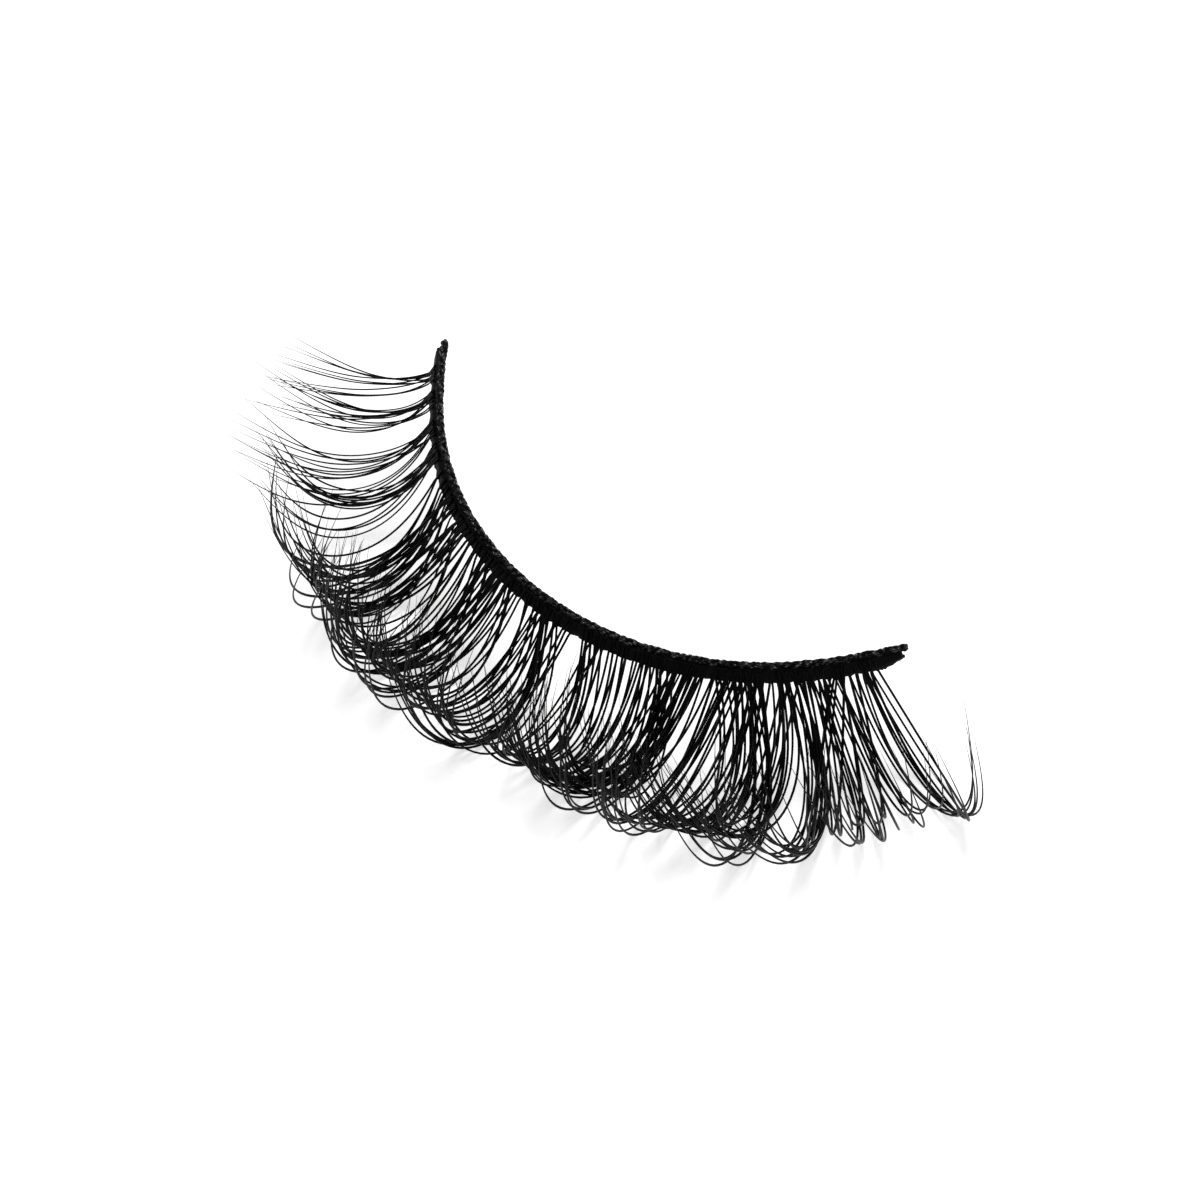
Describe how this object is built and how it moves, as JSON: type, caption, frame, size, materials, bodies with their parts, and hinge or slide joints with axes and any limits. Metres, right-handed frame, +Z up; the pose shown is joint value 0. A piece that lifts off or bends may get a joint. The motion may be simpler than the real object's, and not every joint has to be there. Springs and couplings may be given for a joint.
{
  "type": "false eyelash strip",
  "caption": "Curved strip of strongly curled black false lashes, in fans hung from a thin thread band, standing on the bellies of its curls.",
  "frame": {"origin": "on the surface that the strip stands on, under the middle of its bounding box", "axes": "+X along the strip, from the short lashes to the long ones; -Y the way the lashes reach out at the middle; +Z up"},
  "size_m": [0.0392, 0.0168, 0.0093],
  "materials": {
    "band_thread": "black cotton thread, waxed and lacquered to a low gloss",
    "lash_fibre": "black polyester fibre, heat curled, glossy and tapered"
  },
  "bodies": {
    "root": {"upper_thread": "band_thread", "lower_thread": "band_thread", "lash_fan_01": "lash_fibre", "lash_fan_02": "lash_fibre", "lash_fan_03": "lash_fibre", "lash_fan_04": "lash_fibre", "lash_fan_05": "lash_fibre", "lash_fan_06": "lash_fibre", "lash_fan_07": "lash_fibre", "lash_fan_08": "lash_fibre", "lash_fan_09": "lash_fibre", "lash_fan_10": "lash_fibre", "lash_fan_11": "lash_fibre", "lash_fan_12": "lash_fibre", "lash_fan_13": "lash_fibre", "lash_fan_14": "lash_fibre", "lash_fan_15": "lash_fibre", "lash_fan_16": "lash_fibre", "lash_fan_17": "lash_fibre", "lash_fan_18": "lash_fibre", "lash_fan_19": "lash_fibre", "lash_fan_20": "lash_fibre"}
  },
  "joints": []
}
